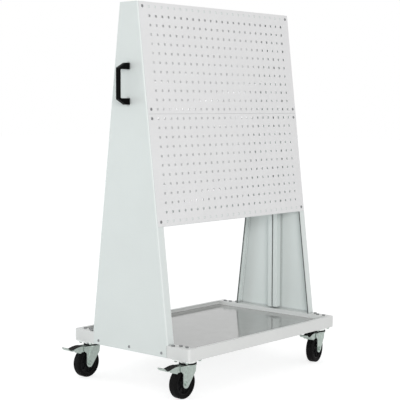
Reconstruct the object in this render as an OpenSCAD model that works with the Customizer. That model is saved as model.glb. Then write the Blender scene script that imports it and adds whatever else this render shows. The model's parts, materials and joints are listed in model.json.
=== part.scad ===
// Mobile pegboard rack: two leaning perforated faces over a tray base on four braked swivel castors.
// Millimetres, Z up, floor at Z = 0. The front faces -Y and the push handle is on the -X end.

/* [Perforated panels] */
// Distance between hole centres, both ways
hole_pitch = 38; // [30:1:42]
// Side of each square hole
hole_size = 10; // [6:0.5:12]
// Pitches across one panel
hole_cols = 26; // [22:1:30]
// Columns left without holes at each side of a panel, where it covers the flanges
plain_cols = 1; // [0:1:3]
// Rows of holes in one panel
hole_rows = 12; // [9:1:13]
// Sheet thickness of the panels
panel_sheet = 1.2; // [0.8:0.1:2]
// Depth of the stiffening fold where two panels meet
panel_fold = 12; // [6:1:18]
// Gap between the upper and the lower panel
panel_gap = 0.6; // [0.4:0.1:3]
// Margin from a panel's side edge to the outer face of the end panel
side_margin = 6; // [4:0.5:10]

/* [End panels] */
// Height of the end panels above the base rim
end_h = 1380; // [1250:10:1500]
// Depth of an end panel at its top
end_top_d = 101; // [92:1:140]
// Depth of an end panel where it meets the base rim
end_foot_d = 435; // [360:5:440]
// Sheet thickness of the end panels
end_sheet = 1.5; // [1:0.1:2]
// Width of the folded front and rear flanges
flange_w = 38; // [34:1:44]
// Depth of the return lip on each flange
lip_d = 14; // [10:1:18]
// Depth of the return lip below the panels
bay_lip = 5; // [4:0.5:8]
// Outer radius of the sloping bends
bend_r = 6; // [4:0.5:9]
// Distance of the outer end screws from the middle
end_screw_y = 183; // [120:1:190]
// Height of the end screws above the bottom of the rim
end_screw_z = 17; // [12:1:36]
// Height of the double-ribbed stiffener's lower end above the rim
post_lift = 9; // [4:0.5:12]
// Distance of each stiffener rib from the middle of the end panel
rib_y = 14.5; // [14:0.25:18]
// Width of a stiffener rib
rib_w = 23.5; // [20:0.5:24]
// Corner radius of a stiffener rib
rib_r = 4; // [2:0.5:8]
// How far a stiffener rib stays back from the inner edge of the flanges
rib_set = 1; // [0.5:0.5:8]

/* [Tie rails and cover] */
// Height of the front and rear tie rails
rail_h = 45; // [38:1:60]
// How far a tie rail shows below its panel
rail_show = 1; // [0.5:0.5:26]
// Depth of the tie rails
rail_d = 20; // [16:1:28]
// Depth of the top cover's skirts
cover_skirt = 40; // [30:1:50]
// Sheet thickness of rails and cover
rail_sheet = 1.5; // [1:0.1:2]

/* [Base] */
// Depth of the base, front to rear
base_d = 665; // [620:5:720]
// Height of the base rim
rim_h = 50; // [44:1:60]
// Width of the rim at the two ends, from the outer face to the recess
rim_end = 40; // [39:0.5:48]
// Width of the front and rear rim
rim_side = 14; // [12:0.5:24]
// Depth of the tray recess
recess_depth = 18; // [12:1:24]
// Corner radius of the recess
recess_r = 18; // [8:1:30]
// Vertical corner radius of the base
base_r = 10; // [5:0.5:14]
// Sheet thickness of the base
base_sheet = 2; // [1.5:0.1:2.5]
// Width of the folded lower lip of the front and rear skirts
skirt_lip = 14; // [8:1:20]
// Sheet thickness of the channels that carry the castors
channel_sheet = 3; // [2:0.25:4]
// Width of the channels that carry the castors
channel_w = 104; // [100:1:112]
// Distance from the outer face of an end panel to the pair of rim bolts over each castor
rim_bolt_x = 30; // [29:0.5:31]
// Spacing of that pair of rim bolts
rim_pair = 33; // [28:0.5:40]
// Distance from the outer face of an end panel to the rim bolt beside it
rim_bolt_edge = 13; // [12:0.5:14]
// Distance of that rim bolt from the foot of the end panel
rim_bolt_gap = 19; // [16:0.5:24]

/* [Castors] */
// Height from the floor to the top of the castor plate
castor_h = 156; // [154.5:0.5:166]
// Wheel diameter over the tread
wheel_d = 125; // [116:0.5:125]
// Width of the tyre
tyre_w = 32; // [26:0.5:36]
// Radial thickness of the tyre
tyre_t = 16; // [10:0.5:20]
// Distance that the axle trails behind the kingpin
trail = 34; // [30:0.5:36]
// Distance from the outer face of an end panel to the kingpin
king_inset_x = 53; // [52:0.5:58]
// Distance from the front or rear of the base to the kingpin
king_inset_y = 53.5; // [44:0.5:56]
// Length of the castor plate
plate_l = 105; // [100:0.5:106]
// Width of the castor plate
plate_w = 85; // [80:0.5:88]
// Thickness of the castor plate
plate_t = 4; // [3:0.25:5]
// Bolt spacing along the plate
bolt_sx = 76; // [72:0.5:77]
// Bolt spacing across the plate
bolt_sy = 60; // [56:0.5:64]
// Diameter of the castor bolts
bolt_d = 8; // [6:0.5:8]
// Sheet thickness of the fork
fork_t = 3; // [2:0.25:4]
// Axle diameter
axle_d = 10; // [8:0.5:12]
// Kingpin diameter
king_d = 12; // [10:0.5:14]
// Diameter of the balls in the swivel bearing
ball_d = 6; // [5:0.1:6.2]
// Number of balls in the swivel bearing
ball_n = 20; // [12:1:24]
// Distance from the kingpin to the pedal's tip
pedal_reach = 156; // [146:1:168]
// Gap between the pedal's cheeks and the fork's legs
pedal_play = 1; // [0.8:0.1:2]
// Angle that the pedal is pressed through
brake_angle = 10; // [8:0.5:11]
// Angle that the front right castor is swivelled to, seen from above
right_turn = 12; // [-90:1:90]

/* [Handle] */
// Distance between the handle's two feet
handle_span = 143; // [120:1:180]
// How far the handle stands off the end panel
handle_reach = 66; // [56:1:76]
// Thickness of the handle's bar
handle_bar = 14; // [12:0.5:18]
// Width of the handle
handle_w = 17; // [16:0.5:26]
// Height of the handle's middle above the floor
handle_z = 1255; // [1100:1:1320]
// Diameter of the handle's screws
handle_screw_d = 6; // [4:0.5:8]

/* [Fits] */
// Gap between pieces that pass each other
gap = 0.3; // [0.25:0.05:0.5]
// Radial clearance of turning fits
run = 0.05; // [0.03:0.01:0.09]
// Radial clearance of bolts and screws in their holes
bolt_clear = 0.2; // [0.1:0.05:0.3]

/* [Hidden] */
$fn = 64;
panel_w = hole_cols * hole_pitch;
panel_h = hole_rows * hole_pitch;
rack_w = panel_w + 2 * side_margin;
half_w = rack_w / 2;
rim_top = castor_h + rim_h;
rack_h = rim_top + end_h;
lean = atan((end_foot_d - end_top_d) / 2 / end_h);
slope_l = end_h / cos(lean);
skirt_x = half_w - end_sheet;
recess_x = half_w - rim_end;
recess_y = base_d / 2 - rim_side;
recess_z = rim_top - recess_depth;
channel_in = skirt_x - base_sheet - channel_w;
lip_x = half_w - flange_w;
fix_x = (hole_cols - 1) / 2 * hole_pitch;
fix_d = 6;
fix_head = 13;
fix_head_h = 2.6;
fix_len = 12;
end_screw_d = 6;
end_screw_head = 12;
end_screw_h = 2.4;
end_screw_len = 14;
tie_screw_d = 5;
tie_screw_head = 9;
tie_screw_h = 2.4;
post_sheet = 1.2;
post_flat = 7;
rib_h = flange_w - end_sheet - rib_set;
post_half = rib_y + rib_w / 2 + post_flat;
post_top = rack_h - end_sheet - 12;
post_stop = rack_h - (post_half + bend_r + lip_d - end_top_d / 2) / tan(lean);
king_x = half_w - king_inset_x;
king_y = base_d / 2 - king_inset_y;
wheel_r = wheel_d / 2;
bolt_head_h = 5.3;
bolt_across = 13 / 8 * bolt_d;
nut_h = 6.5 / 8 * bolt_d;
plate_z = castor_h - plate_t;
crown_t = 4;
crown_top = plate_z - 16;
crown_z = crown_top - crown_t;
race_in = 24;
race_mid = race_in + gap + ball_d / 2;
race_out = race_mid + ball_d / 2 + gap;
cup_r = race_out + 3;
cup_h = 5;
crown_r = cup_r + 2.5;
hub_side = tyre_w / 2 + 5;
leg_in = hub_side;
leg_out = leg_in + fork_t;
leg_r = 18;
leg_front = 26;
leg_drop = 30;
ear = 9;
press_t = 1.2;
king_head_r = king_d / 2 + 5;
king_head_h = 4;
core_r = wheel_r - tyre_t;
pin_d = 5;
pin_back = 25;
pin_x = -trail - pin_back;
pin_z = crown_z - 4;
pedal_w = 2 * (leg_in - pedal_play);
shoe_l = 26;
shoe_d = 18;
toe = 34;
pedal_t = 2.5;
trim_t = 1;
bay_y = -2 * panel_h - rail_show - 2;
overrun = 20;
handle_foot = 26;
handle_arm = 22;
handle_round = 6;
handle_in_r = 5;
handle_head = 2 * handle_screw_d;
handle_bite = 11;

// Helpers

// Draws in a leaning face: x across, y up the slope from the top edge, z outward. side is -1 front, 1 rear.
module on_face(side) {
  mirror([0, side > 0 ? 1 : 0, 0])
    translate([0, -end_top_d / 2, rack_h])
      rotate([90 - lean, 0, 0])
        children();
}

module at_corner(sx, sy, turned = 0) {
  translate([sx * king_x, sy * king_y, 0]) rotate(turned) children();
}

module round_rect(w, d, r) {
  square([w - 2 * r, d], center = true);
  square([w, d - 2 * r], center = true);
  for (x = [-1, 1], y = [-1, 1]) {
    translate([x * (w / 2 - r), y * (d / 2 - r)]) circle(r);
  }
}

module block(w, d, h, r) {
  linear_extrude(h) round_rect(w, d, r);
}

module hex(across, h) {
  cylinder(d = across / cos(30), h = h, $fn = 6);
}

module along_x(x) {
  translate([x, 0, 0]) rotate([0, 90, 0]) children();
}

function tangent(p, c, r, side) =
  let (v = p - c, a = atan2(v[1], v[0]) + side * acos(r / norm(v))) c + r * [cos(a), sin(a)];

function mix(a, b, t) = a + (b - a) * t;

function bezier(p, t) =
  let (a = mix(p[0], p[1], t), b = mix(p[1], p[2], t), c = mix(p[2], p[3], t))
    mix(mix(a, b, t), mix(b, c, t), t);

function turn(v) = [-v[1], v[0]] / norm(v);

function ribbon(path, t) =
  let (
    n = len(path),
    side = [for (i = [0:n - 1]) turn(path[min(i + 1, n - 1)] - path[max(i - 1, 0)])]
  )
    concat(
      [for (i = [0:n - 1]) path[i] + side[i] * t / 2],
      [for (i = [n - 1:-1:0]) path[i] - side[i] * t / 2]
    );

// Base

module each_castor_bolt() {
  for (x = [-1, 1], y = [-1, 1], i = [-1, 1], j = [-1, 1]) {
    translate([x * king_x + i * bolt_sx / 2, y * king_y + j * bolt_sy / 2, 0]) children();
  }
}

module each_rim_bolt() {
  for (x = [-1, 1], y = [-1, 1]) {
    for (j = [-1, 1]) {
      translate([x * (half_w - rim_bolt_x), y * (king_y + j * rim_pair / 2), 0]) children();
    }
    translate([x * (half_w - rim_bolt_edge), y * (end_foot_d / 2 + rim_bolt_gap), 0]) children();
  }
}

module end_screw_holes(side) {
  for (y = [-1, 0, 1]) {
    translate([0, y * end_screw_y, castor_h + end_screw_z])
      along_x(side > 0 ? half_w - 12 : -half_w - 2)
        cylinder(d = end_screw_d + 2 * run, h = 14);
  }
}

module base_tray() {
  s = base_sheet;
  color([0.84, 0.85, 0.84])
    difference() {
      union() {
        translate([0, 0, castor_h])
          difference() {
            block(2 * skirt_x, base_d, rim_h, base_r);
            translate([0, 0, -1])
              block(2 * (skirt_x - s), base_d - 2 * s, rim_h - s + 1, base_r - s);
          }
        translate([-recess_x - s, -base_d / 2 + s / 2, recess_z - s])
          cube([2 * (recess_x + s), base_d - s, recess_depth + s]);
        for (y = [0, 1]) {
          mirror([0, y, 0])
            translate([gap - channel_in, base_d / 2 - s - skirt_lip, castor_h])
              cube([2 * (channel_in - gap), skirt_lip + s / 2, s]);
        }
      }
      translate([0, 0, recess_z])
        block(2 * recess_x, 2 * recess_y, recess_depth + 1, recess_r);
      translate([-recess_x, -base_d / 2 + s, recess_z])
        cube([2 * recess_x, base_d - 2 * s, recess_depth - s]);
      each_rim_bolt()
        translate([0, 0, rim_top - s - 1]) cylinder(d = bolt_d + 2 * bolt_clear, h = s + 2);
      end_screw_holes(-1);
      end_screw_holes(1);
    }
}

// Section of an end channel: x from the middle of the rack, y up from the castor plates.
module channel_section() {
  s = channel_sheet;
  x_out = skirt_x - base_sheet;
  x_lip = recess_x + base_sheet;
  translate([channel_in, 0]) square([channel_w, s]);
  translate([channel_in, 0]) square([s, recess_z - base_sheet - castor_h]);
  translate([x_out - s, 0]) square([s, rim_h - base_sheet]);
  translate([x_lip, rim_h - base_sheet - s]) square([x_out - x_lip, s]);
}

module end_channel(side) {
  len_y = base_d - 2 * base_sheet;
  color([0.80, 0.81, 0.80])
    difference() {
      intersection() {
        mirror([side > 0 ? 0 : 1, 0, 0])
          translate([0, len_y / 2, castor_h])
            rotate([90, 0, 0]) linear_extrude(len_y) channel_section();
        translate([0, 0, castor_h - 1])
          block(2 * (skirt_x - base_sheet), len_y, rim_h + 2, base_r + 2);
      }
      each_castor_bolt()
        translate([0, 0, castor_h - 1]) cylinder(d = bolt_d + 2 * bolt_clear, h = channel_sheet + 2);
      each_rim_bolt()
        translate([0, 0, rim_top - base_sheet - channel_sheet - 1])
          cylinder(d = bolt_d + 2 * bolt_clear, h = channel_sheet + 2);
      end_screw_holes(side);
    }
}

// End panels

module flange_section(lip) {
  s = end_sheet;
  intersection() {
    translate([bend_r, -bend_r])
      difference() {
        circle(bend_r);
        circle(bend_r - s);
      }
    translate([0, -bend_r]) square(bend_r);
  }
  translate([bend_r, -s]) square([flange_w - bend_r, s]);
  translate([flange_w - s, -lip]) square([s, lip]);
}

// A stretch of flange down the slope, from one distance below the top edge to another.
module flange(from, to, lip) {
  translate([-half_w, from, 0])
    rotate([90, 0, 0]) linear_extrude(from - to) flange_section(lip);
}

module fix_holes() {
  for (y = [0, 1], r = [0, hole_rows - 1]) {
    translate([-fix_x, -(r + 0.5) * hole_pitch - y * panel_h, -end_sheet - 2])
      cylinder(d = fix_d + 2 * run, h = end_sheet + 4);
  }
}

function tie_y() = -2 * panel_h - rail_show + rail_h / 2;

module tie_holes() {
  for (y = [tie_y(), -cover_skirt / 2 - 4]) {
    translate([0, y, -lip_d / 2 - 2])
      along_x(-lip_x - 4)
        cylinder(d = tie_screw_d + 2 * run, h = 8);
  }
}

module end_shell() {
  s = end_sheet;
  inset = bend_r / cos(lean);
  color([0.84, 0.86, 0.85])
    difference() {
      union() {
        translate([-half_w, 0, 0])
          rotate([90, 0, 90])
            linear_extrude(s)
              polygon([
                [-end_foot_d / 2 + inset, rim_top],
                [end_foot_d / 2 - inset, rim_top],
                [end_top_d / 2 - inset, rack_h],
                [-end_top_d / 2 + inset, rack_h]
              ]);
        intersection() {
          for (side = [-1, 1]) {
            on_face(side) {
              flange(overrun, bay_y, lip_d);
              flange(bay_y, -slope_l - overrun, bay_lip);
            }
          }
          translate([-half_w - 1, -end_foot_d, rim_top])
            cube([flange_w + 2, 2 * end_foot_d, end_h]);
        }
        translate([-half_w, -end_top_d / 2 + s, rack_h - s])
          cube([flange_w, end_top_d - 2 * s, s]);
        translate([-half_w, -end_foot_d / 2 + inset, castor_h])
          cube([s, end_foot_d - 2 * inset, rim_h]);
      }
      end_screw_holes(-1);
      for (side = [-1, 1]) {
        on_face(side) fix_holes();
        on_face(side) tie_holes();
      }
      if ($handle_side) {
        handle_holes();
      }
    }
}

module left_end_panel() {
  $handle_side = true;
  end_shell();
}

module right_end_panel() {
  $handle_side = false;
  mirror([1, 0, 0]) end_shell();
}

module rib_shape(w, h, r) {
  translate([0, -w / 2]) square([h - r, w]);
  translate([0, r - w / 2]) square([h, w - 2 * r]);
  for (y = [-1, 1]) {
    translate([h - r, y * (w / 2 - r)]) circle(r);
  }
}

module post_section() {
  t = post_sheet;
  difference() {
    union() {
      translate([0, -post_half]) square([t, 2 * post_half]);
      for (y = [-1, 1]) {
        translate([0, y * rib_y]) rib_shape(rib_w, rib_h, rib_r);
      }
    }
    for (y = [-1, 1]) {
      translate([-1, y * rib_y]) rib_shape(rib_w - 2 * t, rib_h - t + 1, rib_r - t);
    }
  }
}

module stiffener() {
  z0 = rim_top + post_lift;
  color([0.80, 0.83, 0.83])
    difference() {
      translate([-half_w + end_sheet, 0, z0])
        linear_extrude(min(post_stop, post_top) - z0) post_section();
      if ($handle_side) {
        for (v = [-1, 1]) {
          translate([0, 0, handle_z + v * handle_span / 2])
            along_x(-half_w)
              cylinder(d = handle_head + 3, h = flange_w);
        }
      }
    }
}

module left_stiffener() {
  $handle_side = true;
  stiffener();
}

module right_stiffener() {
  $handle_side = false;
  mirror([1, 0, 0]) stiffener();
}

module trim_section() {
  t = trim_t;
  difference() {
    translate([flange_w - end_sheet - t, -bay_lip - t])
      square([end_sheet + 2 * t, bay_lip + t - end_sheet - gap]);
    translate([flange_w - end_sheet, -bay_lip]) square([end_sheet, bay_lip]);
  }
}

module edge_trims() {
  top = bay_y - 1;
  color([0.06, 0.06, 0.06])
    intersection() {
      for (side = [-1, 1]) {
        on_face(side)
          translate([-half_w, top, 0])
            rotate([90, 0, 0])
              linear_extrude(slope_l + top + overrun) trim_section();
      }
      translate([-half_w, -end_foot_d, rim_top])
        cube([half_w, 2 * end_foot_d, end_h]);
    }
}

module left_edge_trims() {
  edge_trims();
}

module right_edge_trims() {
  mirror([1, 0, 0]) edge_trims();
}

// Perforated panels, rails and cover

module panel_sheet_2d() {
  difference() {
    square([panel_w, panel_h - panel_gap], center = true);
    for (i = [plain_cols:hole_cols - 1 - plain_cols], j = [0:hole_rows - 1]) {
      translate([(i - (hole_cols - 1) / 2) * hole_pitch, (j - (hole_rows - 1) / 2) * hole_pitch])
        square(hole_size, center = true);
    }
    for (x = [-1, 1], y = [-1, 1]) {
      translate([x * fix_x, y * (hole_rows - 1) / 2 * hole_pitch]) circle(d = fix_d + 2 * bolt_clear);
    }
  }
}

// fold is -1 for a fold along the lower edge, 1 along the upper edge.
module perforated_panel(row, fold) {
  edge = (panel_h - panel_gap) / 2;
  fold_w = 2 * (lip_x - 2);
  color([0.87, 0.87, 0.88])
    translate([0, -(row + 0.5) * panel_h, 0]) {
      linear_extrude(panel_sheet) panel_sheet_2d();
      translate([-fold_w / 2, fold > 0 ? edge - panel_sheet : -edge, -panel_fold])
        cube([fold_w, panel_sheet, panel_fold + panel_sheet / 2]);
    }
}

module front_upper_panel() {
  on_face(-1) perforated_panel(0, -1);
}

module front_lower_panel() {
  on_face(-1) perforated_panel(1, 1);
}

module rear_upper_panel() {
  on_face(1) perforated_panel(0, -1);
}

module rear_lower_panel() {
  on_face(1) perforated_panel(1, 1);
}

module tie_rail() {
  s = rail_sheet;
  color([0.85, 0.86, 0.86])
    difference() {
      translate([-lip_x, tie_y() - rail_h / 2, -rail_d]) cube([2 * lip_x, rail_h, rail_d]);
      translate([-lip_x + s, tie_y() - rail_h / 2 + s, -rail_d - 1])
        cube([2 * lip_x - 2 * s, rail_h - 2 * s, rail_d - s + 1]);
      tie_holes();
      mirror([1, 0, 0]) tie_holes();
    }
}

module front_tie_rail() {
  on_face(-1) tie_rail();
}

module rear_tie_rail() {
  on_face(1) tie_rail();
}

module top_cover() {
  s = rail_sheet;
  half = end_top_d / 2;
  drop = cover_skirt * cos(lean);
  foot = half + drop * tan(lean);
  color([0.85, 0.86, 0.86])
    difference() {
      translate([-lip_x, 0, 0])
        rotate([90, 0, 90])
          linear_extrude(2 * lip_x)
            polygon([[-foot, rack_h - drop], [foot, rack_h - drop], [half, rack_h], [-half, rack_h]]);
      translate([-lip_x + s, 0, 0])
        rotate([90, 0, 90])
          linear_extrude(2 * (lip_x - s))
            polygon([
              [-foot + s / cos(lean) - 2 * tan(lean), rack_h - drop - 2],
              [foot - s / cos(lean) + 2 * tan(lean), rack_h - drop - 2],
              [half - s / cos(lean) + s * tan(lean), rack_h - s],
              [-half + s / cos(lean) - s * tan(lean), rack_h - s]
            ]);
      for (side = [-1, 1]) {
        on_face(side) tie_holes();
        mirror([1, 0, 0]) on_face(side) tie_holes();
      }
    }
}

// Fasteners of the frame

module dome_screw(d, head, head_h, length) {
  translate([0, 0, -length]) cylinder(d = d, h = length);
  intersection() {
    cylinder(d = head, h = head_h);
    translate([0, 0, head_h - head]) sphere(head);
  }
}

module panel_screws() {
  color([0.10, 0.10, 0.11])
    for (side = [-1, 1], x = [-1, 1], y = [0, 1], r = [0, hole_rows - 1]) {
      on_face(side)
        translate([x * fix_x, -(r + 0.5) * hole_pitch - y * panel_h, panel_sheet])
          dome_screw(fix_d, fix_head, fix_head_h, fix_len);
    }
}

module end_panel_screws() {
  color([0.22, 0.22, 0.23])
    for (x = [-1, 1], y = [-1, 0, 1]) {
      translate([x * half_w, y * end_screw_y, castor_h + end_screw_z])
        rotate([0, x * 90, 0])
          dome_screw(end_screw_d, end_screw_head, end_screw_h, end_screw_len);
    }
}

module tie_screws() {
  color([0.62, 0.63, 0.64])
    for (side = [-1, 1], x = [0, 1], y = [tie_y(), -cover_skirt / 2 - 4]) {
      mirror([x, 0, 0])
        on_face(side)
          translate([-lip_x + rail_sheet, y, -lip_d / 2 - 2])
            rotate([0, 90, 0])
              dome_screw(tie_screw_d, tie_screw_head, tie_screw_h, 8);
    }
}

module rim_bolts() {
  color([0.30, 0.31, 0.32])
    each_rim_bolt() {
      translate([0, 0, rim_top]) hex(bolt_across, bolt_head_h);
      translate([0, 0, rim_top - base_sheet - channel_sheet - bolt_d])
        cylinder(d = bolt_d, h = base_sheet + channel_sheet + bolt_d + 0.5);
    }
}

module castor_bolts() {
  seat = castor_h + channel_sheet;
  color([0.62, 0.63, 0.64])
    each_castor_bolt() {
      translate([0, 0, seat]) rotate(30) hex(bolt_across, bolt_head_h);
      translate([0, 0, plate_z - nut_h - 2]) cylinder(d = bolt_d, h = seat - plate_z + nut_h + 2.5);
    }
}

module castor_nuts() {
  color([0.62, 0.63, 0.64])
    each_castor_bolt() {
      translate([0, 0, plate_z - nut_h])
        difference() {
          hex(bolt_across, nut_h);
          translate([0, 0, -1]) cylinder(d = bolt_d + 2 * run, h = nut_h + 2);
        }
    }
}

// Handle on the left end

module handle_holes() {
  for (v = [-1, 1]) {
    translate([0, 0, handle_z + v * handle_span / 2])
      along_x(-half_w - 2)
        cylinder(d = handle_screw_d + 2 * run, h = 8);
  }
}

module handle_outline() {
  a = handle_span / 2 + handle_foot / 2;
  b = handle_span / 2 - handle_foot / 2;
  top = handle_reach;
  low = handle_reach - handle_bar;
  difference() {
    polygon([
      [0, -a], [handle_arm, -a], [top, -b - 3], [top, b + 3], [handle_arm, a], [0, a]
    ]);
    translate([low / 2 - handle_in_r, 0]) round_rect(low + 2 * handle_in_r, 2 * b, handle_in_r);
  }
}

// Section across the handle, with its outer edges rounded
module handle_section() {
  top = handle_reach;
  flat = handle_w - 2 * handle_round;
  translate([-1, -handle_w / 2]) square([top + 1 - handle_round, handle_w]);
  translate([-1, -flat / 2]) square([top + 1, flat]);
  for (y = [-1, 1]) {
    translate([top - handle_round, y * flat / 2]) circle(handle_round);
  }
}

module handle() {
  color([0.07, 0.07, 0.08])
    translate([-half_w, 0, handle_z])
      mirror([1, 0, 0])
        difference() {
          intersection() {
            rotate([90, 0, 0]) linear_extrude(handle_w, center = true) handle_outline();
            linear_extrude(handle_span + 2 * handle_foot, center = true) handle_section();
          }
          for (v = [-1, 1]) {
            translate([-1, 0, v * handle_span / 2])
              rotate([0, 90, 0]) cylinder(d = handle_screw_d + 2 * run, h = handle_bite + 2);
          }
        }
}

module handle_screws() {
  color([0.62, 0.63, 0.64])
    for (v = [-1, 1]) {
      translate([-half_w + end_sheet, 0, handle_z + v * handle_span / 2])
        rotate([0, 90, 0])
          dome_screw(handle_screw_d, handle_head, 3.2, end_sheet + handle_bite);
    }
}

// Castor pieces, drawn with the kingpin on the Z axis and the wheel trailing toward -X

module plate() {
  color([0.66, 0.67, 0.68])
    difference() {
      union() {
        translate([0, 0, plate_z]) block(plate_l, plate_w, plate_t, 8);
        translate([0, 0, crown_top + gap]) cylinder(r = race_in, h = plate_z - crown_top - gap + 1);
        translate([0, 0, crown_top + ball_d + 2 * gap])
          cylinder(r = race_out - gap, h = plate_z - crown_top - ball_d - 2 * gap + 1);
        translate([0, 0, crown_top + cup_h + 1.5])
          cylinder(r = cup_r, h = plate_z - crown_top - cup_h);
      }
      translate([0, 0, crown_top - 1]) cylinder(d = king_d + 2 * run, h = castor_h - crown_top + 2);
      for (x = [-1, 1], y = [-1, 1]) {
        translate([x * bolt_sx / 2, y * bolt_sy / 2, plate_z - 1])
          cylinder(d = bolt_d + 2 * bolt_clear, h = plate_t + 2);
      }
    }
}

module kingpin() {
  color([0.58, 0.59, 0.60])
    translate([0, 0, crown_z - gap - king_head_h]) {
      cylinder(r = king_head_r, h = king_head_h);
      cylinder(d = king_d, h = castor_h - crown_z + king_head_h);
    }
}

module balls() {
  color([0.75, 0.76, 0.77])
    for (i = [0:ball_n - 1]) {
      rotate(360 / ball_n * i)
        translate([race_mid, 0, crown_top + ball_d / 2 + run])
          sphere(d = ball_d);
    }
}

module leg_2d() {
  c = [-trail, wheel_r];
  circle_r = leg_r * 0.99;
  knee = [leg_front - 4, crown_top - leg_drop];
  polygon([
    [leg_front, crown_top], [pin_x - ear, crown_top], [pin_x - ear, pin_z - ear],
    [-trail - circle_r, crown_top - leg_drop], [-trail - circle_r, wheel_r],
    c, tangent(knee, c, circle_r, -1), knee
  ]);
  translate(c) circle(leg_r);
}

// Raised pressing on the outer face of a leg
module press_2d() {
  top = crown_top - 7;
  foot = wheel_r + leg_r + 5;
  polygon([[leg_front - 18, top], [-trail + 6, top], [-trail - 8, foot], [-trail + 10, foot]]);
}

module fork() {
  color([0.70, 0.71, 0.70])
    difference() {
      union() {
        for (y = [leg_in, -leg_out]) {
          translate([0, y + fork_t, 0]) rotate([90, 0, 0]) linear_extrude(fork_t) leg_2d();
        }
        for (y = [leg_out + press_t, -leg_out + 1]) {
          translate([0, y, 0]) rotate([90, 0, 0]) linear_extrude(press_t + 1) press_2d();
        }
        translate([0, 0, crown_z]) cylinder(r = crown_r, h = crown_t);
        translate([pin_x + 14, -leg_out, crown_z])
          cube([leg_front - pin_x - 14, 2 * leg_out, crown_t]);
        translate([0, 0, crown_z]) cylinder(r = cup_r, h = crown_t + cup_h);
      }
      translate([0, 0, crown_top]) cylinder(r = race_out, h = cup_h + 1);
      translate([0, 0, crown_z - 1]) cylinder(d = king_d + 2 * run, h = crown_t + 2);
      translate([-trail, leg_out + 1, wheel_r])
        rotate([90, 0, 0]) cylinder(d = axle_d + 2 * run, h = 2 * leg_out + 2);
      translate([pin_x, leg_out + 1, pin_z])
        rotate([90, 0, 0]) cylinder(d = pin_d + 2 * run, h = 2 * leg_out + 2);
    }
}

module axle() {
  color([0.60, 0.61, 0.62])
    translate([-trail, 0, wheel_r])
      rotate([90, 0, 0]) {
        translate([0, 0, -leg_out - 9]) cylinder(d = axle_d, h = 2 * leg_out + 9.5);
        translate([0, 0, leg_out]) hex(axle_d * 1.6, 6);
        translate([0, 0, -leg_out - 7])
          difference() {
            hex(axle_d * 1.6, 7);
            translate([0, 0, -1]) cylinder(d = axle_d + 2 * run, h = 9);
          }
      }
}

module hub() {
  w = tyre_w / 2;
  h = hub_side - gap;
  b = axle_d / 2 + run;
  color([0.12, 0.12, 0.13])
    translate([-trail, 0, wheel_r])
      rotate([90, 0, 0])
        rotate_extrude()
          polygon([
            [b, -h], [b + 7, -h], [b + 10, -w + 4], [b + 13, -6], [core_r - 8, -5], [core_r - 5, -w + 2],
            [core_r, -w + 2], [core_r, w - 2],
            [core_r - 5, w - 2], [core_r - 8, 5], [b + 13, 6], [b + 10, w - 4], [b + 7, h], [b, h]
          ]);
}

module tyre_2d() {
  w = tyre_w / 2;
  r = 5;
  translate([core_r, -w]) square([tyre_t - r, 2 * w]);
  translate([core_r, -w + r]) square([tyre_t, 2 * (w - r)]);
  for (y = [-1, 1]) {
    translate([wheel_r - r, y * (w - r)]) circle(r);
  }
}

module tyre() {
  color([0.09, 0.09, 0.09])
    translate([-trail, 0, wheel_r])
      rotate([90, 0, 0]) rotate_extrude() tyre_2d();
}

module brake_pin() {
  color([0.60, 0.61, 0.62])
    translate([pin_x, leg_out + 1.5, pin_z])
      rotate([90, 0, 0]) cylinder(d = pin_d, h = 2 * leg_out + 3);
}

module about_pin(a) {
  translate([pin_x, pin_z]) rotate(a) translate([-pin_x, -pin_z]) children();
}

function pedal_low() = [-pedal_reach + toe, pin_z + 3];

function blade_curve() =
  let (
    low = pedal_low(),
    a = [[pin_x + 1, pin_z + 7.5], [pin_x - 16, pin_z + 13], low + [22, 7], low]
  )
    [for (i = [0:10]) bezier(a, i / 10)];

function pedal_path() =
  let (
    tip = -pedal_reach,
    low = pedal_low(),
    b = [low, low + [-14, -4.5], [tip + 8, pin_z + 3], [tip, pin_z + 14]]
  )
    concat(blade_curve(), [for (i = [1:6]) bezier(b, i / 6)]);

// Side cheek of the pedal, under its blade
module cheek_2d() {
  mid = (pin_x + pedal_low()[0]) / 2;
  translate([pin_x, pin_z]) circle(d = pin_d + 9);
  polygon(concat(
    blade_curve(),
    [
      [mid - 18.5, pin_z - 9.5], [mid - 9, pin_z - 12.5], [pin_x - 16, pin_z - 13.5],
      [pin_x + 4, pin_z - 12], [pin_x + 6, pin_z]
    ]
  ));
}

// Brake shoe between the cheeks, cut to the tyre's curve when the pedal is down
module shoe_2d() {
  difference() {
    polygon([
      [pin_x + 2, pin_z + 5], [pin_x - 16, pin_z + 9.5], [pin_x - shoe_l, pin_z + 9],
      [pin_x - shoe_l, pin_z - shoe_d], [pin_x - 6, pin_z - shoe_d], [pin_x + 2, pin_z - 5]
    ]);
    about_pin(-brake_angle)
      translate([-trail, wheel_r]) circle(wheel_r + gap);
  }
}

module pedal() {
  color([0.55, 0.56, 0.57])
    difference() {
      union() {
        rotate([90, 0, 0]) linear_extrude(pedal_w, center = true) polygon(ribbon(pedal_path(), pedal_t));
        for (y = [pedal_w / 2, -pedal_w / 2 + pedal_t]) {
          translate([0, y, 0]) rotate([90, 0, 0]) linear_extrude(pedal_t) cheek_2d();
        }
        rotate([90, 0, 0]) linear_extrude(pedal_w - pedal_t, center = true) shoe_2d();
      }
      translate([pin_x, leg_out, pin_z])
        rotate([90, 0, 0]) cylinder(d = pin_d + 2 * run, h = 2 * leg_out);
    }
}

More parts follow.
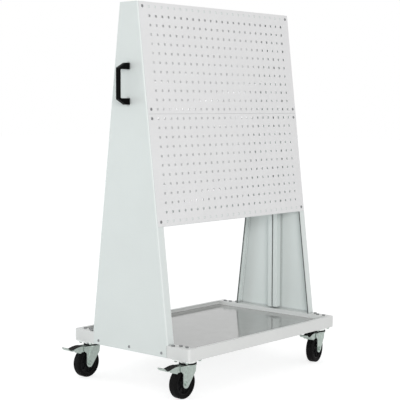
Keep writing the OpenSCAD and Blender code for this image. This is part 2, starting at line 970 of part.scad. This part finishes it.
base_tray();
end_channel(-1);  // left_end_channel
end_channel(1);  // right_end_channel
left_end_panel();
right_end_panel();
left_stiffener();
right_stiffener();
left_edge_trims();
right_edge_trims();
front_upper_panel();
front_lower_panel();
rear_upper_panel();
rear_lower_panel();
top_cover();
front_tie_rail();
rear_tie_rail();
panel_screws();
end_panel_screws();
tie_screws();
rim_bolts();
castor_bolts();
castor_nuts();
handle();
handle_screws();
at_corner(-1, -1) plate();  // fl_plate
at_corner(-1, -1) kingpin();  // fl_kingpin
at_corner(-1, -1) balls();  // fl_balls
at_corner(-1, -1) fork();  // fl_fork
at_corner(-1, -1) axle();  // fl_axle
at_corner(-1, -1) hub();  // fl_hub
at_corner(-1, -1) tyre();  // fl_tyre
at_corner(-1, -1) brake_pin();  // fl_brake_pin
at_corner(-1, -1) pedal();  // fl_pedal
at_corner(1, -1) plate();  // fr_plate
at_corner(1, -1) kingpin();  // fr_kingpin
at_corner(1, -1, right_turn) balls();  // fr_balls
at_corner(1, -1, right_turn) fork();  // fr_fork
at_corner(1, -1, right_turn) axle();  // fr_axle
at_corner(1, -1, right_turn) hub();  // fr_hub
at_corner(1, -1, right_turn) tyre();  // fr_tyre
at_corner(1, -1, right_turn) brake_pin();  // fr_brake_pin
at_corner(1, -1, right_turn) pedal();  // fr_pedal
at_corner(-1, 1) plate();  // rl_plate
at_corner(-1, 1) kingpin();  // rl_kingpin
at_corner(-1, 1) balls();  // rl_balls
at_corner(-1, 1) fork();  // rl_fork
at_corner(-1, 1) axle();  // rl_axle
at_corner(-1, 1) hub();  // rl_hub
at_corner(-1, 1) tyre();  // rl_tyre
at_corner(-1, 1) brake_pin();  // rl_brake_pin
at_corner(-1, 1) pedal();  // rl_pedal
at_corner(1, 1) plate();  // rr_plate
at_corner(1, 1) kingpin();  // rr_kingpin
at_corner(1, 1) balls();  // rr_balls
at_corner(1, 1) fork();  // rr_fork
at_corner(1, 1) axle();  // rr_axle
at_corner(1, 1) hub();  // rr_hub
at_corner(1, 1) tyre();  // rr_tyre
at_corner(1, 1) brake_pin();  // rr_brake_pin
at_corner(1, 1) pedal();  // rr_pedal
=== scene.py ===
import bpy
import bmesh
import json
import math
from mathutils import Matrix, Vector


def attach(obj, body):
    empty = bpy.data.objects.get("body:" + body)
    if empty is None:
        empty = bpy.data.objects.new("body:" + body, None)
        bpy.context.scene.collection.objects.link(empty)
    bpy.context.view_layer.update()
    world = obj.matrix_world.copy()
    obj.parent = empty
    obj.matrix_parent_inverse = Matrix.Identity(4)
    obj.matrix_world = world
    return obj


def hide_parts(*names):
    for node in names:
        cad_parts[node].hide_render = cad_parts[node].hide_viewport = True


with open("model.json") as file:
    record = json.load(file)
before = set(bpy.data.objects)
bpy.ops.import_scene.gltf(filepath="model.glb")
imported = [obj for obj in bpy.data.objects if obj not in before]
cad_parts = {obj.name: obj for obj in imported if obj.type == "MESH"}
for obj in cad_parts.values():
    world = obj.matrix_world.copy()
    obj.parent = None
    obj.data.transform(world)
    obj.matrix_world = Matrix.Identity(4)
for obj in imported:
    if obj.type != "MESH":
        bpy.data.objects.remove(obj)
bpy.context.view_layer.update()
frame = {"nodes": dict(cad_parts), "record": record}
nodes = frame["nodes"]
mounts = {m["name"]: m for m in frame["record"]["mounts"]}
joints = {j["name"]: j for j in frame["record"]["behaviour"]["joints"]}
scene = bpy.context.scene
CORNERS = ("fl", "fr", "rl", "rr")


# Materials. Lengths are in metres, and noise scales are per metre.

NOISE_LOW, NOISE_HIGH = 0.3, 0.7  # most of a noise lies between these
COAT_SPREAD = 0.012               # how far a powder coat's colour varies
COAT_ROUGH_SPREAD = 0.05
# Painted shade in inner corners: how far it reaches out, and its samples.
PAINTED_SHADE_REACH = 0.016              # how far a corner's darker band comes out
PAINTED_SHADE_SAMPLES = 8


def node_tree(name):
    mat = bpy.data.materials.new(name)
    mat.use_nodes = True
    nt = mat.node_tree
    return mat, nt, nt.nodes["Principled BSDF"]


def noise(nt, scale, detail, rough=0.5):
    coord = nt.nodes.new("ShaderNodeTexCoord")
    tex = nt.nodes.new("ShaderNodeTexNoise")
    tex.inputs["Scale"].default_value = scale
    tex.inputs["Detail"].default_value = detail
    tex.inputs["Roughness"].default_value = rough
    nt.links.new(coord.outputs["Object"], tex.inputs["Vector"])
    return tex.outputs["Fac"]


def remap(nt, fac, low, high, start=NOISE_LOW, stop=NOISE_HIGH):
    node = nt.nodes.new("ShaderNodeMapRange")
    node.inputs["From Min"].default_value = start
    node.inputs["From Max"].default_value = stop
    node.inputs["To Min"].default_value = low
    node.inputs["To Max"].default_value = high
    nt.links.new(fac, node.inputs["Value"])
    return node.outputs["Result"]


def shade(color, k):
    return tuple(min(1.0, c * k) for c in color)


def tone(nt, fac, color, dark, light):
    """Varies a colour between two multiples of itself."""
    ramp = nt.nodes.new("ShaderNodeValToRGB")
    ends = ramp.color_ramp.elements
    ends[0].position = NOISE_LOW
    ends[1].position = NOISE_HIGH
    ends[0].color = (*shade(color, dark), 1)
    ends[1].color = (*shade(color, light), 1)
    nt.links.new(fac, ramp.inputs["Fac"])
    return ramp.outputs["Color"]


def blended(nt, kind, factor, a, b):
    mix = nt.nodes.new("ShaderNodeMix")
    mix.data_type = kind
    nt.links.new(factor, mix.inputs["Factor"])
    nt.links.new(a, mix.inputs["A"])
    nt.links.new(b, mix.inputs["B"])
    return mix.outputs["Result"]


def bump(nt, bsdf, height, strength, distance):
    node = nt.nodes.new("ShaderNodeBump")
    node.inputs["Strength"].default_value = strength
    node.inputs["Distance"].default_value = distance
    nt.links.new(height, node.inputs["Height"])
    nt.links.new(node.outputs["Normal"], bsdf.inputs["Normal"])


def paint_corner_shade(nt, paint, dark):
    """Paints shade into a paint's inner corners: darker where ambient occlusion finds surfaces close by."""
    near = nt.nodes.new("ShaderNodeAmbientOcclusion")
    near.samples = PAINTED_SHADE_SAMPLES
    near.inputs["Distance"].default_value = PAINTED_SHADE_REACH
    mix = nt.nodes.new("ShaderNodeMix")
    mix.data_type = "RGBA"
    in_the_open = remap(nt, near.outputs["AO"], low=0.0, high=1.0, start=0.25, stop=0.85)
    nt.links.new(in_the_open, mix.inputs["Factor"])
    nt.links.new(paint, mix.inputs["B"])
    mix.inputs["A"].default_value = (*dark, 1)
    return mix.outputs["Result"]


def coat_tone(nt, color):
    patches = noise(nt, scale=7.0, detail=4.0)
    return tone(nt, patches, color, dark=1 - COAT_SPREAD, light=1 + COAT_SPREAD)


def coat_rough(nt, rough):
    specks = noise(nt, scale=160.0, detail=3.0)
    return remap(nt, specks, low=rough - COAT_ROUGH_SPREAD, high=rough + COAT_ROUGH_SPREAD)


def powder_coat(name, color, rough, painted_corner_dark=None):
    mat, nt, bsdf = node_tree(name)
    paint = coat_tone(nt, color)
    # Painted shade: the paint darkens in inner corners, when a darker level is given.
    if painted_corner_dark:
        paint = paint_corner_shade(nt, paint, dark=shade(color, painted_corner_dark))
    nt.links.new(paint, bsdf.inputs["Base Color"])
    nt.links.new(coat_rough(nt, rough), bsdf.inputs["Roughness"])
    bsdf.inputs["Specular IOR Level"].default_value = 0.45
    bump(nt, bsdf, noise(nt, scale=900.0, detail=2.0), strength=0.12, distance=0.0004)
    return mat


def facing_up_below(nt, height, fade):
    """Masks the faces that look up and lie no higher than a height."""
    coord = nt.nodes.new("ShaderNodeTexCoord")
    place = nt.nodes.new("ShaderNodeSeparateXYZ")
    nt.links.new(coord.outputs["Object"], place.inputs["Vector"])
    geometry = nt.nodes.new("ShaderNodeNewGeometry")
    normal = nt.nodes.new("ShaderNodeSeparateXYZ")
    nt.links.new(geometry.outputs["Normal"], normal.inputs["Vector"])
    below = remap(nt, place.outputs["Z"], low=1.0, high=0.0, start=height, stop=height + fade)
    upward = remap(nt, normal.outputs["Z"], low=0.0, high=1.0, start=0.6, stop=0.95)
    both = nt.nodes.new("ShaderNodeMath")
    both.operation = "MULTIPLY"
    nt.links.new(below, both.inputs[0])
    nt.links.new(upward, both.inputs[1])
    return both.outputs["Value"]


def tray_finish(name, rim, rim_rough, pan, pan_height):
    """Powder coat on the rim and skirts, smooth sheet on the floor of the tray."""
    mat, nt, bsdf = node_tree(name)
    on_pan = facing_up_below(nt, pan_height, fade=0.002)
    pan_tone = tone(nt, noise(nt, scale=11.0, detail=6.0, rough=0.6), pan, dark=0.97, light=1.03)
    pan_rough = remap(nt, noise(nt, scale=40.0, detail=5.0), low=0.09, high=0.14)
    color = blended(nt, "RGBA", on_pan, coat_tone(nt, rim), pan_tone)
    rough = blended(nt, "FLOAT", on_pan, coat_rough(nt, rim_rough), pan_rough)
    nt.links.new(color, bsdf.inputs["Base Color"])
    nt.links.new(rough, bsdf.inputs["Roughness"])
    bsdf.inputs["Specular IOR Level"].default_value = 0.5
    bump(nt, bsdf, noise(nt, scale=420.0, detail=2.0), strength=0.02, distance=0.0003)
    return mat


def zinc_plate(name, color, rough):
    mat, nt, bsdf = node_tree(name)
    spangle = tone(nt, noise(nt, scale=90.0, detail=5.0), color, dark=0.86, light=1.10)
    wear = remap(nt, noise(nt, scale=260.0, detail=4.0), low=rough - 0.08, high=rough + 0.10)
    nt.links.new(spangle, bsdf.inputs["Base Color"])
    nt.links.new(wear, bsdf.inputs["Roughness"])
    bsdf.inputs["Metallic"].default_value = 0.85
    bump(nt, bsdf, noise(nt, scale=420.0, detail=3.0), strength=0.10, distance=0.0004)
    return mat


def moulded(name, color, rough, grain, relief, gloss):
    """Moulded plastic or rubber, with a grain of its own scale and relief."""
    mat, nt, bsdf = node_tree(name)
    bloom = tone(nt, noise(nt, scale=60.0, detail=4.0), color, dark=0.82, light=1.22)
    matt = remap(nt, noise(nt, scale=grain * 0.5, detail=3.0), low=rough - 0.07, high=rough + 0.07)
    nt.links.new(bloom, bsdf.inputs["Base Color"])
    nt.links.new(matt, bsdf.inputs["Roughness"])
    bsdf.inputs["Specular IOR Level"].default_value = gloss
    bump(nt, bsdf, noise(nt, scale=grain, detail=2.0), strength=relief, distance=0.0005)
    return mat


# The end panels' paint carries painted shade in its inner corners, at the level given here.
END = powder_coat("end_paint", (0.680, 0.722, 0.709), rough=0.42, painted_corner_dark=0.30)
PANEL = powder_coat("panel_paint", (0.728, 0.728, 0.732), rough=0.45)
TRAY = tray_finish("tray_paint", rim=(0.690, 0.700, 0.690), rim_rough=0.41,
                   pan=(0.37, 0.375, 0.365), pan_height=mounts["tray_floor"]["pos_m"][2])
ZINC = zinc_plate("zinc", (0.41, 0.47, 0.435), rough=0.38)
PLATE = zinc_plate("plate_zinc", (0.78, 0.81, 0.79), rough=0.34)
SCREW = zinc_plate("dark_screw", (0.26, 0.265, 0.27), rough=0.40)
HANDLE = moulded("handle_plastic", (0.0020, 0.0020, 0.0022),
                 rough=0.45, grain=700.0, relief=0.18, gloss=0.04)
HUB = moulded("hub_plastic", (0.006, 0.006, 0.0065),
              rough=0.52, grain=500.0, relief=0.18, gloss=0.10)
TYRE = moulded("tyre", (0.0035, 0.0034, 0.0035),
               rough=0.68, grain=380.0, relief=0.30, gloss=0.08)
EDGE = moulded("edge_rubber", (0.006, 0.006, 0.006),
               rough=0.66, grain=420.0, relief=0.22, gloss=0.15)
# Dark grey for the strips on the flanges' inner edges: painted shade, standing in for the shadow gap along
# those edges.
SHADOW_GAP_TRIM = moulded("trim_rubber", (0.10, 0.105, 0.105),
               rough=0.62, grain=420.0, relief=0.20, gloss=0.25)

# The CAD nodes take their looks by slot. The castors' plates are brighter than the other zinc.
LOOKS = {
    "end_paint": END, "panel_paint": PANEL, "tray_paint": TRAY, "zinc": ZINC, "dark_screw": SCREW,
    "handle_plastic": HANDLE, "hub_plastic": HUB, "tyre": TYRE, "edge_rubber": SHADOW_GAP_TRIM,
}
for part in frame["record"]["subparts"]:
    look = PLATE if part["node"].endswith("_plate") else LOOKS[part["material_slot"]]
    mesh = nodes[part["node"]].data
    mesh.materials.clear()
    mesh.materials.append(look)


# Softened edges on the CAD pieces

def soften(name, width, segments=2, angle=40):
    mod = nodes[name].modifiers.new("soft_edge", "BEVEL")
    mod.width = width
    mod.segments = segments
    mod.limit_method = "ANGLE"
    mod.angle_limit = math.radians(angle)
    mod.harden_normals = True


soften("base_tray", width=0.0009, segments=3)
soften("handle", width=0.003, segments=4, angle=25)
soften("top_cover", width=0.0005)
for side in ("left", "right"):
    soften(side + "_end_panel", width=0.0004)
    soften(side + "_end_channel", width=0.0008)
    soften(side + "_stiffener", width=0.0004)
for side in ("front", "rear"):
    soften(side + "_tie_rail", width=0.0006)
for c in CORNERS:
    soften(c + "_fork", width=0.0011, segments=3)
    soften(c + "_plate", width=0.0007)
    soften(c + "_pedal", width=0.0007)
    soften(c + "_hub", width=0.0008)


# Tools for the pieces made here

WELD = 1e-6         # points closer than this are one point
NEAR = 1e-5         # points this close to an outermost face lie on it
SHARP_ANGLE = 35    # degrees; a steeper edge stays sharp


def island_points(name):
    """Gives the corner points of each separate solid in a node."""
    bm = bmesh.new()
    bm.from_mesh(nodes[name].data)
    bmesh.ops.remove_doubles(bm, verts=bm.verts, dist=WELD)
    left = set(bm.verts)
    groups = []
    while left:
        todo = [left.pop()]
        group = []
        while todo:
            vert = todo.pop()
            group.append(vert.co.copy())
            for edge in vert.link_edges:
                other = edge.other_vert(vert)
                if other in left:
                    left.remove(other)
                    todo.append(other)
        groups.append(group)
    bm.free()
    return groups


def seat_frame(points, axis, head):
    """Gives a fastener's place, with z along its axis and z = 0 under its head, and its length."""
    axis = Vector(axis).normalized()
    turn = axis.to_track_quat("Z", "Y").to_matrix()
    local = [turn.transposed() @ p for p in points]
    mid = [(min(p[i] for p in local) + max(p[i] for p in local)) / 2 for i in (0, 1)]
    seat = max(p.z for p in local) - head
    place = turn.to_4x4()
    place.translation = turn @ Vector((mid[0], mid[1], seat))
    return place, seat - min(p.z for p in local)


def circle(radius, z, steps):
    return [Vector((radius * math.cos(a), radius * math.sin(a), z))
            for a in (2 * math.pi * i / steps for i in range(steps))]


def hexagon(across, z, steps):
    """Points round a hexagon, as many as round a circle, so that the two can be joined."""
    ring = []
    for i in range(steps):
        a = 2 * math.pi * i / steps
        from_flat = (a % (math.pi / 3)) - math.pi / 6
        r = across / 2 / math.cos(from_flat)
        ring.append(Vector((r * math.cos(a), r * math.sin(a), z)))
    return ring


def add_rings(bm, rings, place, closed=False):
    """Joins rings of points into a skin, with its ends capped or, if closed, joined to each other."""
    rows = [[bm.verts.new(place @ p) for p in ring] for ring in rings]
    count = len(rows[0])
    following = rows[1:] + rows[:1] if closed else rows[1:]
    for low, high in zip(rows, following):
        for i in range(count):
            j = (i + 1) % count
            bm.faces.new((low[i], low[j], high[j], high[i]))
    if not closed:
        bm.faces.new(reversed(rows[0]))
        bm.faces.new(rows[-1])


def new_piece(name, bm, look, body):
    bmesh.ops.recalc_face_normals(bm, faces=bm.faces)
    mesh = bpy.data.meshes.new(name)
    bm.to_mesh(mesh)
    bm.free()
    mesh.polygons.foreach_set("use_smooth", [True] * len(mesh.polygons))
    mesh.set_sharp_from_angle(angle=math.radians(SHARP_ANGLE))
    mesh.materials.append(look)
    piece = bpy.data.objects.new(name, mesh)
    scene.collection.objects.link(piece)
    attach(piece, body)
    return piece


# Screws and bolts: dome heads with hexagon sockets, and hexagon heads with a chamfer

STEPS = 36             # points round a fastener
HEAD_BREAK = 0.0002    # broken edges of a dome head
WASHER_FACE = 0.0003   # height of the round face under a hexagon head
HEX_FOOT = 0.0004      # where the hexagon starts above the seat
CROWN_DISH = 0.0003    # depth of the dish in a hexagon head
CROWN_SLOPE = math.tan(math.radians(30))


def shank_rings(shank, length):
    """Rings of a shank with a chamfered tip, up to its seat."""
    tip, chamfer = shank * 0.40, shank * 0.1
    return [circle(tip, -length, STEPS), circle(shank / 2, -length + chamfer, STEPS),
            circle(shank / 2, 0, STEPS)]


def socket_screw(shank, length, head, height, drive):
    def dome(radius):
        return height - head + math.sqrt(head * head - radius * radius)

    mouth, floor = drive * 0.66, height * 0.35
    rings = shank_rings(shank, length) + [circle(head / 2, 0, STEPS)]
    for share, drop in ((1.0, HEAD_BREAK), (0.94, 0), (0.75, 0), (0.55, 0)):
        radius = mouth + (head / 2 - mouth) * share
        rings.append(circle(radius, dome(radius) - drop, STEPS))
    rings.append(circle(mouth, dome(mouth), STEPS))
    rings.append(hexagon(drive, dome(mouth) - HEAD_BREAK, STEPS))
    rings.append(hexagon(drive, floor, STEPS))
    return rings


def hex_bolt(shank, length, across, height):
    top, dish = across * 0.47, across * 0.47 * 0.86
    rings = shank_rings(shank, length)
    rings += [circle(top, 0, STEPS), circle(top, WASHER_FACE, STEPS)]
    rings.append(hexagon(across, HEX_FOOT, STEPS))
    crown = hexagon(across, height, STEPS)
    for p in crown:
        p.z -= (math.hypot(p.x, p.y) - top) * CROWN_SLOPE
    rings += [crown, circle(top, height, STEPS), circle(dish, height - CROWN_DISH, STEPS)]
    return rings


def face_axis(points):
    side = "front" if sum(p.y for p in points) < 0 else "rear"
    return mounts[side + "_hole_grid"]["axis"]


def end_axis(points):
    return (math.copysign(1, sum(p.x for p in points)), 0, 0)


def straight_up(points):
    return (0, 0, 1)


def dress_fasteners(node, axis, make, height, **sizes):
    """Replaces each fastener of a node by a detailed one, with its head as high as the solid's."""
    bm = bmesh.new()
    for points in island_points(node):
        place, length = seat_frame(points, axis(points), height)
        add_rings(bm, make(length=length, height=height, **sizes), place)
    piece = new_piece("dressed_" + node, bm, SCREW, "rack")
    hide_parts(node)


dress_fasteners("panel_screws", face_axis, socket_screw,
                height=0.0026, shank=0.006, head=0.013, drive=0.004)
dress_fasteners("end_panel_screws", end_axis, socket_screw,
                height=0.0024, shank=0.006, head=0.012, drive=0.004)
dress_fasteners("rim_bolts", straight_up, hex_bolt, height=0.0053, shank=0.008, across=0.013)


# Castor detail

SEAL_LIFT = 0.0002           # the dust seal's foot above the fork's crown
SEAL_RISE = 0.0010           # its top above the bearing cup
SEAL_INNER = 0.0003          # its inner and outer face, out from the cup
SEAL_OUTER = 0.0024
SEAL_CHAMFER = 0.0008
SEAL_STEPS = 72
RIDGE_INSETS = (0.0085, 0.0120)  # tyre ridges, in from the tread
RIDGE_BEAD = 0.0007
RIDGE_ARC = 8
RIDGE_STEPS = 96
RIB_COUNT = 8                # ribs on each side of a hub
RIB_FOOT = 0.0045            # rib's foot and crest, out from the wheel's middle
RIB_CREST = 0.0105
RIB_ENDS = ((0.0165, 0.0036), (0.0405, 0.0026))  # radius and thickness at a rib's two ends
RIB_TAPER = 0.8
RIB_EDGE = 0.0005
PAD_HALF = 0.0185            # half the width of a pedal's tread
PAD_THICK = 0.0012
PAD_SINK = 0.0002            # how deep the tread sits in the blade
PAD_BEVEL = 0.0008
CLEAT_HALF = 0.0012          # half the width of a cross rib on the tread
CLEAT_RISE = 0.0006
CLEAT_SINK = 0.0003
CLEAT_LENGTH = 0.86          # share of the tread's width
CLEAT_CREST = 0.5            # share of its width at the crest


def castor_place(c):
    """Castor frame: z up the kingpin, the wheel trailing toward -x."""
    king = joints[c + "_swivel_turn"]["pos_m"]
    axle = joints[c + "_wheel_spin"]["axis"]
    turn = Matrix.Rotation(math.atan2(-axle[0], axle[1]), 4, "Z")
    return Matrix.Translation((king[0], king[1], 0)) @ turn


def castor_points(c, node):
    inverse = castor_place(c).inverted()
    return [inverse @ v.co for v in nodes[c + node].data.vertices]


def add_dust_seal(c):
    """Black ring round the swivel bearing, on the fork's crown."""
    fork = castor_points(c, "_fork")
    cup_top = max(p.z for p in fork)
    cup = max(math.hypot(p.x, p.y) for p in fork if p.z > cup_top - NEAR)
    low = joints[c + "_swivel_turn"]["pos_m"][2] + SEAL_LIFT
    high = cup_top + SEAL_RISE
    inner, outer = cup + SEAL_INNER, cup + SEAL_OUTER
    section = [(inner, low), (outer, low), (outer, high - SEAL_CHAMFER),
               (outer - SEAL_CHAMFER, high), (inner, high)]
    bm = bmesh.new()
    add_rings(bm, [circle(r, z, SEAL_STEPS) for r, z in section], castor_place(c), closed=True)
    new_piece(c + "_dust_seal", bm, EDGE, c + "_swivel")


def wheel_place(c, side):
    """Wheel frame: z along the axle, outward on one side."""
    place = castor_place(c)
    centre = place.inverted() @ Vector(joints[c + "_wheel_spin"]["pos_m"])
    turn = Matrix.Rotation(math.radians(-90 * side), 4, "X")
    return place @ Matrix.Translation(centre) @ turn


def add_tyre_ridges(c):
    """Fine round ridges on both walls of a tyre."""
    tyre = castor_points(c, "_tyre")
    wall = max(p.y for p in tyre)
    tread = (max(p.z for p in tyre) - min(p.z for p in tyre)) / 2
    bm = bmesh.new()
    for side in (-1, 1):
        for inset in RIDGE_INSETS:
            rings = []
            for i in range(RIDGE_ARC):
                a = 2 * math.pi * i / RIDGE_ARC
                radius = tread - inset + RIDGE_BEAD * math.cos(a)
                rings.append(circle(radius, wall + RIDGE_BEAD * math.sin(a), RIDGE_STEPS))
            add_rings(bm, rings, wheel_place(c, side), closed=True)
    new_piece(c + "_tyre_ridges", bm, TYRE, c + "_wheel")


def add_hub_ribs(c):
    """Ribs between a hub's boss and its rim, on both sides."""
    bm = bmesh.new()
    for side in (-1, 1):
        for i in range(RIB_COUNT):
            turn = Matrix.Rotation(2 * math.pi * i / RIB_COUNT, 4, "Z")
            rings = []
            for x, thick in RIB_ENDS:
                foot, crest = thick / 2, thick / 2 * RIB_TAPER
                section = ((-foot, RIB_FOOT), (foot, RIB_FOOT), (crest, RIB_CREST), (-crest, RIB_CREST))
                rings.append([Vector((x, y, z)) for y, z in section])
            add_rings(bm, rings, wheel_place(c, side) @ turn)
    piece = new_piece(c + "_hub_ribs", bm, HUB, c + "_wheel")
    soft = piece.modifiers.new("soft_edge", "BEVEL")
    soft.width = RIB_EDGE
    soft.segments = 2


def blade_top(c):
    """Line along the upper face of a pedal's blade, from the pin to the tip, in the castor's frame."""
    least_up, least_forward = 0.3, -0.45       # normals of the blade's upper face
    past_pin, above_pin = 0.0015, 0.003        # where the blade starts
    points = castor_points(c, "_pedal")
    inverse = castor_place(c).inverted()
    upright = inverse.to_3x3()
    pin = inverse @ Vector(joints[c + "_brake_press"]["pos_m"])
    edge = max(p.y for p in points) - NEAR
    line = set()
    for face in nodes[c + "_pedal"].data.polygons:
        normal = upright @ face.normal
        if normal.z > least_up and normal.x > least_forward:
            for i in face.vertices:
                p = points[i]
                if p.y > edge and p.x < pin.x + past_pin and p.z > pin.z + above_pin:
                    line.add((round(p.x, 6), round(p.z, 6)))
    return [Vector((x, 0, z)) for x, z in sorted(line, reverse=True)]


def add_pedal_pad(c):
    """Black ribbed tread on the upper face of a pedal."""
    line = blade_top(c)
    place = castor_place(c)
    up = []
    for i in range(len(line)):
        along = line[min(i + 1, len(line) - 1)] - line[max(i - 1, 0)]
        up.append(Vector((along.z, 0, -along.x)).normalized())
    bm = bmesh.new()
    rings = []
    for p, n in zip(line[1:], up[1:]):
        low, high = p - n * PAD_SINK, p + n * PAD_THICK
        rings.append([Vector((q.x, y, q.z)) for q, y in (
            (low, -PAD_HALF), (low, PAD_HALF), (high, PAD_HALF - PAD_BEVEL), (high, PAD_BEVEL - PAD_HALF))])
    add_rings(bm, rings, place)
    reach = PAD_HALF * CLEAT_LENGTH
    for p, n in zip(line[2:-1], up[2:-1]):
        across = Vector((n.z, 0, -n.x)) * CLEAT_HALF
        foot, crest = p + n * (PAD_THICK - CLEAT_SINK), p + n * (PAD_THICK + CLEAT_RISE)
        section = [foot - across, foot + across,
                   crest + across * CLEAT_CREST, crest - across * CLEAT_CREST]
        add_rings(bm, [[Vector((q.x, y, q.z)) for q in section] for y in (-reach, reach)], place)
    new_piece(c + "_pedal_pad", bm, EDGE, c + "_brake")


for c in CORNERS:
    add_dust_seal(c)
    add_tyre_ridges(c)
    add_hub_ribs(c)
    add_pedal_pad(c)


# Camera, fitted to the photo's base, end panels and hole grid

CAMERA_AT = (-3.7820, -3.2698, 1.1667)
YAW, PITCH, ROLL = (math.radians(a) for a in (48.72, 4.75, 0.16))
LENS, SENSOR = 102.02, 36


def add_camera():
    ahead = Vector((math.sin(YAW) * math.cos(PITCH), math.cos(YAW) * math.cos(PITCH), -math.sin(PITCH)))
    level = Vector((math.cos(YAW), -math.sin(YAW), 0))
    upright = level.cross(ahead)
    right = level * math.cos(ROLL) + upright * math.sin(ROLL)
    up = upright * math.cos(ROLL) - level * math.sin(ROLL)
    data = bpy.data.cameras.new("camera")
    data.sensor_width = SENSOR
    data.lens = LENS
    cam = bpy.data.objects.new("camera", data)
    scene.collection.objects.link(cam)
    place = Matrix((right, up, -ahead)).transposed().to_4x4()
    place.translation = Vector(CAMERA_AT)
    cam.matrix_world = place
    scene.camera = cam


add_camera()


# Floor and light

FLOOR_HALF = 30
FLOOR_LIT = 0.75         # grey that lights the object
FLOOR_SEEN = 0.45        # grey that shows the shadow, and the glow that brings the rest to white
FLOOR_GLOW = 0.74
WORLD_LIGHT = 0.68       # strength that lights the object
WORLD_WHITE = 1.0        # strength that is seen


def background_rays(nt):
    """Picks the rays that show the white background: camera, glossy and transmission rays."""
    path = nt.nodes.new("ShaderNodeLightPath")
    picked = path.outputs["Is Camera Ray"]
    for kind in ("Is Glossy Ray", "Is Transmission Ray"):
        most = nt.nodes.new("ShaderNodeMath")
        most.operation = "MAXIMUM"
        nt.links.new(picked, most.inputs[0])
        nt.links.new(path.outputs[kind], most.inputs[1])
        picked = most.outputs["Value"]
    return picked


def grey_diffuse(nt, level):
    node = nt.nodes.new("ShaderNodeBsdfDiffuse")
    node.inputs["Color"].default_value = (level, level, level, 1)
    return node.outputs["BSDF"]


def floor_look():
    mat = bpy.data.materials.new("floor")
    mat.use_nodes = True
    nt = mat.node_tree
    nt.nodes.clear()
    out = nt.nodes.new("ShaderNodeOutputMaterial")
    glow = nt.nodes.new("ShaderNodeEmission")
    glow.inputs["Strength"].default_value = FLOOR_GLOW
    seen = nt.nodes.new("ShaderNodeAddShader")
    nt.links.new(grey_diffuse(nt, FLOOR_SEEN), seen.inputs[0])
    nt.links.new(glow.outputs["Emission"], seen.inputs[1])
    pick = nt.nodes.new("ShaderNodeMixShader")
    nt.links.new(background_rays(nt), pick.inputs["Fac"])
    nt.links.new(grey_diffuse(nt, FLOOR_LIT), pick.inputs[1])
    nt.links.new(seen.outputs["Shader"], pick.inputs[2])
    nt.links.new(pick.outputs["Shader"], out.inputs["Surface"])
    return mat


def add_floor():
    bm = bmesh.new()
    bmesh.ops.create_grid(bm, x_segments=1, y_segments=1, size=FLOOR_HALF)
    mesh = bpy.data.meshes.new("floor")
    bm.to_mesh(mesh)
    bm.free()
    mesh.materials.append(floor_look())
    floor = bpy.data.objects.new("floor", mesh)
    scene.collection.objects.link(floor)


def add_world():
    world = bpy.data.worlds.new("studio")
    scene.world = world
    world.use_nodes = True
    nt = world.node_tree
    nt.nodes.clear()
    out = nt.nodes.new("ShaderNodeOutputWorld")
    back = nt.nodes.new("ShaderNodeBackground")
    back.inputs["Color"].default_value = (1, 1, 1, 1)
    strength = remap(nt, background_rays(nt), low=WORLD_LIGHT, high=WORLD_WHITE, start=0.0, stop=1.0)
    nt.links.new(strength, back.inputs["Strength"])
    nt.links.new(back.outputs["Background"], out.inputs["Surface"])


def add_light(name, place, target, size, power, color=(1, 1, 1)):
    """Adds a soft lamp, which itself isn't seen."""
    data = bpy.data.lights.new(name, "AREA")
    data.shape = "RECTANGLE"
    data.size, data.size_y = size
    data.energy = power
    data.color = color
    lamp = bpy.data.objects.new(name, data)
    scene.collection.objects.link(lamp)
    lamp.location = place
    lamp.rotation_euler = (Vector(target) - Vector(place)).to_track_quat("-Z", "Y").to_euler()
    lamp.visible_camera = False


def add_bounce_lights():
    """Adds weak lamps between the two faces, for the light that bounces about behind the holes."""
    height, out = 1.1, 0.25
    for name, x, y, size, power in (
            ("front", 0, -1, (0.84, 0.84), 0.46), ("rear", 0, 1, (0.84, 0.84), 0.46),
            ("left", -1, 0, (0.09, 0.70), 0.19), ("right", 1, 0, (0.09, 0.70), 0.19)):
        add_light(name + "_bounce", (out * x, 0, height), (x, y, height), size, power)


add_floor()
add_world()
add_light("key", place=(-7.4, -8.3, 2.9), target=(0, 0, 0.7), size=(4.2, 2.8), power=550)
add_light("rear_fill", place=(-1.4, 3.8, 0.8), target=(0.3, 0, 0.5), size=(2.0, 1.4), power=38,
          color=(0.84, 0.98, 1.0))
add_bounce_lights()
scene.view_settings.view_transform = "Standard"
